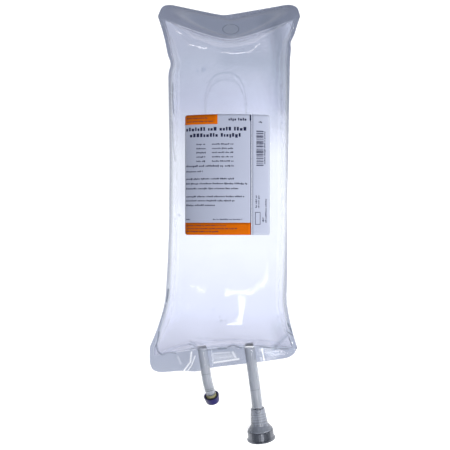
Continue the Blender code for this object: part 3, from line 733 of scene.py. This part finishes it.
# the solids' own clearance between the sheets, which is wide where a sleeve runs round a port tube
apart = np.maximum(formed_front - formed_back, 0)[..., 2] / 2
for i in range(len(COLUMNS)):
    for j in range(len(ROWS)):
        if welded(i, j):
            front_places[i, j, 2] += apart[i, j]
            back_places[i, j, 2] -= apart[i, j]
np.maximum(back_places[..., 2], FILM, out=back_places[..., 2])
for places in (front_places, back_places):
    for side, at, length, depth in SIDE_KINKS:
        near_side = np.clip(1 - (side * (side * KINK_LINE - places[..., 0])) / KINK_REACH, 0, 1)
        places[..., 0] -= side * depth * near_side * np.exp(-(((places[..., 1] - at) / length) ** 2))


def new_piece(name, shape, finish):
    """A new piece from a bmesh, smooth, at the origin, riding on the bag."""
    mesh = bpy.data.meshes.new(name)
    shape.to_mesh(mesh)
    shape.free()
    mesh.shade_smooth()
    mesh.materials.append(finish)
    piece = bpy.data.objects.new(name, mesh)
    scene.collection.objects.link(piece)
    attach(piece, "root")
    return piece


def settle_modifiers(piece):
    """Makes a piece's modifiers part of its mesh."""
    mesh = evaluated_mesh(piece)
    piece.modifiers.clear()
    piece.data = mesh


def light_passes(piece):
    """A clear piece that neither shades the table nor is lit by it twice."""
    piece.visible_shadow = False
    piece.visible_diffuse = False


def film_finish():
    finish = Finish("clear_film")
    weld = finish.node("Attribute", {"attribute_name": "weld"}, output="Fac")
    # painted highlights: the welded film is made clear along these folds
    fold_highlights = finish.near_lines(WELD_FOLD_HIGHLIGHTS)
    # where the table is painted with the hanger end's shade, the film itself is made clearer, so that painted
    # shade shows through it
    clearer = painted_hanger_shade(finish, SHADE_AT) ** SHADE_EASE
    # the welds' grey tint, with painted shade darker towards the ends
    smooth = finish.blend(weld * (1 - fold_highlights) * (1 - clearer), CLEAREST_TINT, finish.along(WELD_TINTS_AND_SHADE))
    # a painted dark rim round the hanger hole, as painted shade at the cut edge
    across = (finish.axis("X") - HANGER_HOLE_AT[0]) / (HANGER_HOLE_SIZE[0] / 2)
    along_it = (finish.axis("Y") - HANGER_HOLE_AT[1]) / (HANGER_HOLE_SIZE[1] / 2)
    from_rim = ((across**2 + along_it**2).math("SQRT") - 1).math("ABSOLUTE")
    rim = RIM_SHADE_STRENGTH * (1 - from_rim.within(0.0, RIM_WIDTH))
    # painted shade in the creases and round the hanger hole, in the film's tint
    tint = finish.blend(rim.math("MAXIMUM", finish.near_lines(CREASE_SHADES)), smooth, PAINTED_SHADE_TONE)
    clear = finish.node("BsdfTransparent", inputs={"Color": tint})
    cloudy = finish.noise(55.0, 4.0)
    grazing = finish.node("LayerWeight", inputs={"Blend": 0.5}, output="Facing")
    haze = 0.015 + 0.02 * cloudy + 0.10 * grazing**6
    inputs = {"Base Color": MILK_TONE, "Roughness": 0.35, "Specular IOR Level": 0.2}
    milk = finish.node("BsdfPrincipled", inputs=inputs)
    body = finish.node("MixShader", inputs={"Fac": haze, 1: clear, 2: milk})
    fine = finish.bump(finish.noise(900.0, 2.0), 0.00002, 0.4)
    gloss = finish.node("BsdfGlossy", inputs={"Color": (1, 1, 1, 1), "Roughness": 0.07, "Normal": fine})
    sheen = 0.022 + 0.28 * grazing**5
    return finish.surface(finish.node("MixShader", inputs={"Fac": sheen, 1: body, 2: gloss}))


def mark_welds(shape):
    """Gives each point 1 where the sheets are welded together, and 0 over the fluid and the port tubes."""
    column, row = shape.verts.layers.int["column"], shape.verts.layers.int["row"]
    weld = shape.verts.layers.float.new("weld")
    for vertex in shape.verts:
        i, j = vertex[column], vertex[row]
        over_tube = j <= PORT_WELD_ROW and beside_a_port(COLUMNS[i], 0.6, 0.05) > 0
        vertex[weld] = float(welded(i, j) and not over_tube)


def film_sheet(name, places, side, finish):
    shape = sheet_shape(places)
    mark_welds(shape)
    if side < 0:
        bmesh.ops.reverse_faces(shape, faces=shape.faces)
    sheet = new_piece(name, shape, finish)
    smooth = sheet.modifiers.new("smooth", "SUBSURF")
    smooth.levels = smooth.render_levels = 1
    wall = sheet.modifiers.new("wall", "SOLIDIFY")
    wall.thickness = FILM
    wall.offset = 1.0
    settle_modifiers(sheet)
    return sheet


def hanger_hole():
    """A cutter for the oval hole, upright through both sheets."""
    shape = bmesh.new()
    bmesh.ops.create_cone(shape, cap_ends=True, segments=64, radius1=0.5, radius2=0.5, depth=1.0)
    bmesh.ops.scale(shape, vec=(*HANGER_HOLE_SIZE, FILLED_HEIGHT), verts=shape.verts)
    bmesh.ops.translate(shape, vec=(*HANGER_HOLE_AT, FILLED_HEIGHT / 2), verts=shape.verts)
    mesh = bpy.data.meshes.new("hanger_hole")
    shape.to_mesh(mesh)
    shape.free()
    cutter = bpy.data.objects.new("hanger_hole", mesh)
    scene.collection.objects.link(cutter)
    return cutter


FILM_FINISH = film_finish()
hole = hanger_hole()
front_sheet = film_sheet("front_sheet", front_places, 1, FILM_FINISH)
back_sheet = film_sheet("back_sheet", back_places, -1, FILM_FINISH)
for sheet, node in ((front_sheet, "front_film"), (back_sheet, "back_film")):
    cut = sheet.modifiers.new("hole", "BOOLEAN")
    cut.operation = "DIFFERENCE"
    cut.object = hole
    settle_modifiers(sheet)
    light_passes(sheet)
    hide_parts(node)
bpy.data.objects.remove(hole, do_unlink=True)
front_tree = tree_of(front_sheet)


# The fluid.
# A litre of clear fluid fills the pouch against both sheets, but for one long flat bubble of air at the crown,
# under the film from the hanger end to beneath the label, and a few beads of air that cling to the film.

FLUID_CLEARANCE = 0.00015
FLUID_BENDING = 0.25
# What the fluid lets through along the bag: a faint blue tint, with painted shade darker towards both ends
FLUID_TINT_AND_SHADE = (
    (-0.145, (0.70, 0.71, 0.78)), (-0.135, (0.77, 0.78, 0.85)), (-0.110, (0.85, 0.87, 0.95)),
    (-0.055, (0.94, 0.955, 0.985)), (0.030, (0.94, 0.955, 0.985)), (0.077, (0.75, 0.77, 0.86)),
    (0.113, (0.65, 0.68, 0.75)), (0.135, (0.63, 0.65, 0.72)),
)
BUBBLE_AT = (-0.0031, 0.0650)
BUBBLE_HALF_WIDTH = 0.0183
BUBBLE_HALF_LENGTH = 0.0362
BUBBLE_SQUARENESS = 2.6
BUBBLE_DEPTH = 0.0016
BUBBLE_REFINED_TO = 1.3
BUBBLE_LINE = 0.045
BUBBLE_LINE_SHADE = 0.22
BEAD_FLATNESS = 0.8

# Each bead's x, y and radius
BEADS = (
    (-0.0350, 0.1105, 0.0009), (-0.0280, 0.1035, 0.0011), (-0.0223, 0.1045, 0.0018),
    (0.0455, 0.0915, 0.0009), (0.0465, 0.0800, 0.0011), (0.0470, 0.0590, 0.0010),
    (0.0455, 0.0545, 0.0007), (-0.0445, -0.0235, 0.0012), (-0.0478, -0.0270, 0.0007),
    (-0.0480, -0.0330, 0.0010), (-0.0140, -0.1065, 0.0009), (-0.0085, -0.1130, 0.0008),
    (-0.0070, -0.1170, 0.0012), (-0.0105, -0.1175, 0.0007), (-0.0030, -0.1165, 0.0009),
    (0.0440, -0.1140, 0.0011), (0.0475, -0.1125, 0.0008), (-0.0262, -0.1325, 0.0009),
    (-0.0200, -0.1330, 0.0010), (0.0125, 0.1235, 0.0009),
)


def bubble_share(x, y):
    """0 at the middle of the air bubble and 1 at its edge."""
    across = abs(x - BUBBLE_AT[0]) / BUBBLE_HALF_WIDTH
    along_it = abs(y - BUBBLE_AT[1]) / BUBBLE_HALF_LENGTH
    return (across**BUBBLE_SQUARENESS + along_it**BUBBLE_SQUARENESS) ** (1 / BUBBLE_SQUARENESS)


def fluid_finish():
    finish = Finish("clear_fluid")
    across = (finish.axis("X") - BUBBLE_AT[0]).math("ABSOLUTE") / BUBBLE_HALF_WIDTH
    along_it = (finish.axis("Y") - BUBBLE_AT[1]).math("ABSOLUTE") / BUBBLE_HALF_LENGTH
    inwards = (across**BUBBLE_SQUARENESS + along_it**BUBBLE_SQUARENESS) ** (1 / BUBBLE_SQUARENESS)
    # a painted dark line along the air bubble's edge, as painted shade
    painted_outline = (1 - (inwards - 1).math("ABSOLUTE").within(0.0, BUBBLE_LINE)) * BUBBLE_LINE_SHADE
    tint = finish.blend(painted_outline, finish.along(FLUID_TINT_AND_SHADE), PAINTED_SHADE_TONE)
    straight = finish.node("BsdfTransparent", inputs={"Color": tint})
    inputs = {"Base Color": tint, "Roughness": 0.0, "IOR": 1.333, "Transmission Weight": 1.0}
    bent = finish.node("BsdfPrincipled", inputs=inputs)
    return finish.surface(finish.node("MixShader", inputs={"Fac": FLUID_BENDING, 1: straight, 2: bent}))


def bead_finish():
    """Air seen from inside the fluid."""
    finish = Finish("air_bead")
    rim = finish.node("LayerWeight", inputs={"Blend": 0.5}, output="Facing") ** 2.5
    tint = finish.blend(rim, (0.96, 0.965, 0.98), (0.42, 0.46, 0.54))
    return finish.surface(finish.node("BsdfTransparent", inputs={"Color": tint}))


def fluid_body():
    shape, under = (sheet_shape(places) for places in joined_at_welds(front_places, back_places))
    chamber_only(shape)
    chamber_only(under)
    bmesh.ops.reverse_faces(under, faces=under.faces)
    add_shape(shape, under)
    bmesh.ops.remove_doubles(shape, verts=shape.verts, dist=1e-6)
    shape.normal_update()
    for vertex in shape.verts:
        vertex.co -= vertex.normal * FLUID_CLEARANCE
    body = new_piece("fluid_body", shape, fluid_finish())
    smooth = body.modifiers.new("smooth", "SUBSURF")
    smooth.levels = smooth.render_levels = 1
    settle_modifiers(body)
    shape = bmesh.new()
    shape.from_mesh(body.data)
    top = [v for v in shape.verts if v.normal.z > 0.5 and bubble_share(v.co.x, v.co.y) < BUBBLE_REFINED_TO]
    near = set(top)
    edges = [e for e in shape.edges if e.verts[0] in near and e.verts[1] in near]
    bmesh.ops.subdivide_edges(shape, edges=edges, cuts=2, use_grid_fill=True)
    for vertex in shape.verts:
        inwards = bubble_share(vertex.co.x, vertex.co.y)
        if vertex.normal.z > 0.5 and inwards < 1:
            vertex.co.z -= BUBBLE_DEPTH * math.sqrt(1 - inwards**4)
    shape.to_mesh(body.data)
    shape.free()
    body.data.shade_smooth()
    light_passes(body)
    return body


def air_beads():
    shape = bmesh.new()
    for x, y, radius in BEADS:
        made = bmesh.ops.create_icosphere(shape, subdivisions=3, radius=radius)["verts"]
        z = height_over(front_tree, x, y, False) - FILM - FLUID_CLEARANCE - radius * 1.1
        bmesh.ops.scale(shape, vec=(1.0, 1.0, BEAD_FLATNESS), verts=made)
        bmesh.ops.translate(shape, vec=(x, y, z), verts=made)
    beads = new_piece("air_beads", shape, bead_finish())
    light_passes(beads)


fluid = fluid_body()
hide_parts("fluid")
air_beads()


# The label.
# Two pieces of satin printed film, glued side by side on the front sheet: the main label, and past a dark
# slit a strip that peels off. The print is blocks of ink: two orange fields, lines of type and a bar code.

LABEL_LEFT = -0.0388
LABEL_RIGHT = 0.0358
LABEL_TOP = 0.0644
LABEL_BOTTOM = -0.0412
LABEL_STRIP_WIDTH = 0.0158
LABEL_SLIT = 0.0005
LABEL_CORNER = 0.0022
LABEL_GRID = 0.002
LABEL_LIFT = 0.00015
LABEL_THICKNESS = 0.00015
INK_LIFT = 0.00003
INK_THICKNESS = 0.00002
INK_GRID = 0.003
LABEL_WHITE = (0.47, 0.50, 0.615)
ORANGE = (0.66, 0.135, 0.001)
NAVY = (0.024, 0.028, 0.070)


def label_finish(name):
    finish = Finish(name)
    cloudy = finish.noise(30.0, 4.0)
    fibres = finish.noise(1400.0, 2.0, (1.0, 0.25, 1.0))
    colour = finish.blend(cloudy, LABEL_WHITE, tuple(c * 1.08 for c in LABEL_WHITE))
    inputs = {
        "Base Color": colour,
        "Roughness": 0.34 + 0.10 * cloudy,
        "Specular IOR Level": 0.8,
        "Normal": finish.bump(fibres, 0.00001, 0.5),
    }
    return finish.surface(finish.node("BsdfPrincipled", inputs=inputs))


def ink_finish(name, tone, roughness):
    finish = Finish(name)
    mottled = finish.noise(700.0, 3.0)
    colour = finish.blend(mottled, tuple(c * 0.88 for c in tone), tuple(c * 1.10 for c in tone))
    inputs = {"Base Color": colour, "Roughness": roughness + 0.08 * mottled, "Specular IOR Level": 0.06}
    return finish.surface(finish.node("BsdfPrincipled", inputs=inputs))


def at_label_corner(vertex):
    """Whether a vertex is a patch's own corner and one of the label's."""
    across = min(abs(vertex.co.x - LABEL_LEFT), abs(vertex.co.x - LABEL_RIGHT))
    along_it = min(abs(vertex.co.y - LABEL_TOP), abs(vertex.co.y - LABEL_BOTTOM))
    return len(vertex.link_faces) == 1 and max(across, along_it) < LABEL_CORNER / 4


def lay_patch(shape, tree, left, right, bottom, top, grid, lift):
    """Adds a patch and lays it over the tree. The label's own corners are rounded."""
    columns = max(1, math.ceil((right - left) / grid))
    rows = max(1, math.ceil((top - bottom) / grid))
    made = bmesh.ops.create_grid(shape, x_segments=columns, y_segments=rows, size=0.5)["verts"]
    bmesh.ops.scale(shape, vec=(right - left, top - bottom, 1.0), verts=made)
    bmesh.ops.translate(shape, vec=((left + right) / 2, (bottom + top) / 2, 0.0), verts=made)
    ends = [v for v in made if at_label_corner(v)]
    if ends:
        bmesh.ops.bevel(
            shape, geom=ends, offset=LABEL_CORNER, segments=6, profile=0.5, affect="VERTICES", material=-1
        )
        made = shape.verts
    for vertex in made:
        vertex.co.z = height_over(tree, vertex.co.x, vertex.co.y, False) + lift


def thicken(piece, thickness):
    wall = piece.modifiers.new("wall", "SOLIDIFY")
    wall.thickness = thickness
    wall.offset = 1.0
    settle_modifiers(piece)


def label_piece(name, left, right, finish):
    shape = bmesh.new()
    lay_patch(shape, front_tree, left, right, LABEL_BOTTOM, LABEL_TOP, LABEL_GRID, LABEL_LIFT)
    piece = new_piece(name, shape, finish)
    thicken(piece, LABEL_THICKNESS)
    return piece


slit = LABEL_RIGHT - LABEL_STRIP_WIDTH
label = label_piece("printed_label", LABEL_LEFT, slit - LABEL_SLIT, label_finish("pale_label"))
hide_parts("label_main")
strip = label_piece("peel_strip", slit, LABEL_RIGHT, label_finish("pale_strip"))
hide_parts("label_strip")
label_tree = tree_of(label, strip)

# Print, in millimetres across from the label's left edge and down from its top
ORANGE_FIELDS = ((0.15, 28.7, 0.15, 8.7), (0.15, 58.2, 94.8, 105.45))
SLIT_BAR = (57.5, 58.2, 5.6, 105.3)
SLIT_TAB = (56.8, 58.2, 0.3, 5.6)
TYPE_LINES = (
    (38.3, 55.4, 4.7, 2.9), (1.0, 55.4, 13.2, 4.0), (4.4, 52.6, 18.6, 4.0),
    (10.2, 18.6, 26.2, 1.5), (10.2, 18.6, 30.0, 1.5), (10.2, 18.6, 33.5, 1.5), (10.2, 18.6, 37.3, 1.5),
    (10.2, 18.6, 41.1, 1.5), (23.8, 43.0, 26.2, 1.5), (23.8, 43.0, 30.0, 1.5), (23.8, 43.0, 33.5, 1.5),
    (23.8, 43.0, 37.3, 1.5), (23.8, 43.0, 41.1, 1.5), (1.0, 33.8, 45.3, 2.0), (35.2, 43.9, 45.3, 1.6),
    (1.0, 16.0, 50.0, 1.6), (1.1, 43.0, 56.5, 1.7), (1.1, 55.2, 60.7, 1.7), (1.1, 47.3, 65.0, 1.7),
    (1.1, 52.6, 72.0, 1.7), (1.1, 44.7, 75.6, 1.7), (1.1, 26.4, 79.6, 1.7), (1.1, 4.6, 92.0, 1.2),
    (24.7, 50.0, 92.0, 1.3), (2.0, 20.0, 3.2, 1.1), (2.0, 26.0, 6.2, 1.1), (1.6, 36.0, 97.4, 1.2),
    (1.6, 46.0, 100.0, 1.2), (1.6, 30.0, 102.6, 1.2), (64.8, 67.9, 6.6, 1.6),
)
TURNED_LINES = (
    (62.6, 71.0, 82.6, 1.4), (64.9, 71.0, 82.6, 1.4), (68.7, 90.3, 95.2, 1.5), (71.3, 73.9, 95.2, 1.5),
    (70.2, 14.6, 44.6, 1.3),
)
BAR_CODE = (62.7, 69.0, 14.2, 44.9)
BOXED_MARK = (61.6, 66.3, 85.5, 96.5)
BOX_LINE = 0.45

# Blocks in place of letters, in shares of the line's size
BLOCK_WIDTHS = (0.30, 0.62)
BLOCK_SPACING = 0.22
WORD_SPACING = 0.45
WORD_BLOCKS = (3, 9)
TALL_SHARE = 0.35
LOW_SHARE = 0.12
BAR_WIDTHS = (0.25, 0.25, 0.5, 0.75)


def ink_patch(shape, left, right, down_from, down_to):
    lay_patch(
        shape,
        label_tree,
        LABEL_LEFT + left / 1000,
        LABEL_LEFT + right / 1000,
        LABEL_TOP - down_to / 1000,
        LABEL_TOP - down_from / 1000,
        INK_GRID,
        INK_LIFT,
    )


def blocks(rng, start, end, size):
    """A line of type's blocks: each one's start and end, and its reach over and under the middle."""
    at, left_in_word = start, rng.randint(*WORD_BLOCKS)
    while True:
        width = size * rng.uniform(*BLOCK_WIDTHS)
        if at + width > end:
            return
        tall = rng.random() < TALL_SHARE
        low = rng.random() < LOW_SHARE
        yield at, at + width, size * (0.5 if tall else 0.26), size * (0.5 if low else 0.30)
        at += width + size * BLOCK_SPACING
        left_in_word -= 1
        if left_in_word == 0:
            at += size * WORD_SPACING
            left_in_word = rng.randint(*WORD_BLOCKS)


def dark_print():
    rng = random.Random(4)
    shape = bmesh.new()
    for left, right, middle, size in TYPE_LINES:
        for start, end, over, under in blocks(rng, left, right, size):
            ink_patch(shape, start, end, middle - over, middle + under)
    for across, start, end, size in TURNED_LINES:
        for top, bottom, over, under in blocks(rng, start, end, size):
            ink_patch(shape, across - over, across + under, top, bottom)
    left, right, at, end = BAR_CODE
    while at < end:
        bar = rng.choice(BAR_WIDTHS)
        ink_patch(shape, left, right, at, at + bar)
        at += bar + rng.choice(BAR_WIDTHS)
    left, right, top, bottom = BOXED_MARK
    for box in (
        (left, right, top, top + BOX_LINE),
        (left, right, bottom - BOX_LINE, bottom),
        (left, left + BOX_LINE, top + BOX_LINE, bottom - BOX_LINE),
        (right - BOX_LINE, right, top + BOX_LINE, bottom - BOX_LINE),
    ):
        ink_patch(shape, *box)
    ink_patch(shape, *SLIT_BAR)
    ink_patch(shape, *SLIT_TAB)
    piece = new_piece("dark_print", shape, ink_finish("navy_ink", NAVY, 0.4))
    thicken(piece, INK_THICKNESS)


def orange_print():
    shape = bmesh.new()
    for field in ORANGE_FIELDS:
        ink_patch(shape, *field)
    piece = new_piece("orange_print", shape, ink_finish("orange_ink", ORANGE, 0.38))
    thicken(piece, INK_THICKNESS)


dark_print()
orange_print()


# The injection port.
# A soft tube welded in between the sheets, with a clear rigid insert in its end. A yellow rubber closure sits
# over the insert, and a violet plastic cup is pressed over the closure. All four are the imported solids.

WET_FROM = -0.1435
WET_TO = -0.1420

# Painted dark rings round the ports, as painted shade at their edges and joins, seen from above, in millimetres
PAINTED_LINE_SHADE = (0.16, 0.17, 0.20)
INJECTION_SHADE_RINGS = (
    (((-23.9, -166.9), (-15.1, -165.7)), 0.5, 0.45), (((-21.8, -183.3), (-12.0, -181.1)), 0.55, 0.8),
    (((-22.1, -181.6), (-12.3, -179.6)), 0.5, 0.55),
)


def clear_plastic(name, tone, roughness, clearness, lines=()):
    """Clear plastic, which can hardly be seen where it stands in the fluid."""
    finish = Finish(name)
    drawn = finish.noise(120.0, 3.0)
    colour = finish.blend(drawn, tone, tuple(c * 0.9 for c in tone))
    # painted shade along the given lines
    if lines:
        colour = finish.blend(finish.near_lines(lines), colour, PAINTED_LINE_SHADE)
    inputs = {"Base Color": colour, "Roughness": roughness + 0.06 * drawn, "IOR": 1.46}
    dry = finish.node("BsdfPrincipled", inputs={**inputs, "Transmission Weight": clearness})
    wet = finish.node("BsdfTransparent", inputs={"Color": (1.0, 1.0, 1.0, 1.0)})
    in_fluid = finish.axis("Y").within(WET_FROM, WET_TO)
    return finish.surface(finish.node("MixShader", inputs={"Fac": in_fluid, 1: dry, 2: wet}))


def solid_plastic(name, tone, roughness):
    finish = Finish(name)
    drawn = finish.noise(300.0, 3.0)
    colour = finish.blend(drawn, tone, tuple(c * 0.85 for c in tone))
    inputs = {"Base Color": colour, "Roughness": roughness + 0.1 * drawn}
    return finish.surface(finish.node("BsdfPrincipled", inputs=inputs))


def dress(node, finish):
    """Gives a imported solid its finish."""
    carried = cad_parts[node]
    carried.data.materials.clear()
    carried.data.materials.append(finish)


dress("injection_port_tube", clear_plastic("soft_tube", (0.68, 0.71, 0.77), 0.16, 0.6, INJECTION_SHADE_RINGS))
dress("injection_port_insert", clear_plastic("clear_insert", (0.66, 0.69, 0.76), 0.08, 0.8))
dress("injection_septum", solid_plastic("yellow_rubber", (0.30, 0.285, 0.15), 0.5))
dress("injection_port_cap", solid_plastic("violet_cap", (0.012, 0.009, 0.105), 0.3))


# The infusion port.
# A wider soft tube with the stem of a clear moulded neck in its end. A rubber stopper closes the neck, and an
# aluminium cap with a tear-off middle is crimped round its flange. All four are the imported solids.

# Painted dark rings and rib lines on the infusion port, as painted shade, seen from above, in millimetres
AIR_RING = (
    (28.5, -199.2), (27.7, -197.6), (25.8, -197.0), (23.9, -197.6), (23.1, -199.2), (23.9, -200.8),
    (25.8, -201.4), (27.7, -200.8), (28.5, -199.2),
)
INFUSION_SHADE_RINGS = ((((19.9, -180.7), (29.8, -179.3)), 0.5, 0.45), (AIR_RING, 0.6, 0.8))
NECK_RIB_SHADES = (
    (AIR_RING, 0.6, 0.8),
    (((18.6, -203.9), (34.0, -202.0)), 0.6, 0.55), (((18.6, -206.2), (34.2, -204.3)), 0.6, 0.5),
    (((18.6, -208.5), (35.0, -206.5)), 0.6, 0.55), (((18.4, -211.0), (36.0, -208.8)), 0.7, 0.5),
    (((18.0, -213.5), (38.0, -211.2)), 0.9, 0.6),
)


def aluminium():
    finish = Finish("aluminium")
    drawn = finish.noise(500.0, 3.0)
    colour = finish.blend(drawn, (0.25, 0.26, 0.29), (0.15, 0.16, 0.185))
    inputs = {"Base Color": colour, "Roughness": 0.28 + 0.12 * drawn, "Metallic": 1.0}
    return finish.surface(finish.node("BsdfPrincipled", inputs=inputs))


dress("infusion_port_tube", clear_plastic("soft_tube_wide", (0.65, 0.68, 0.74), 0.16, 0.6, INFUSION_SHADE_RINGS))
dress("infusion_port_neck", clear_plastic("clear_neck", (0.43, 0.46, 0.53), 0.18, 0.5, NECK_RIB_SHADES))
dress("infusion_stopper", solid_plastic("grey_rubber", (0.20, 0.20, 0.21), 0.6))
dress("infusion_crimp_cap", aluminium())
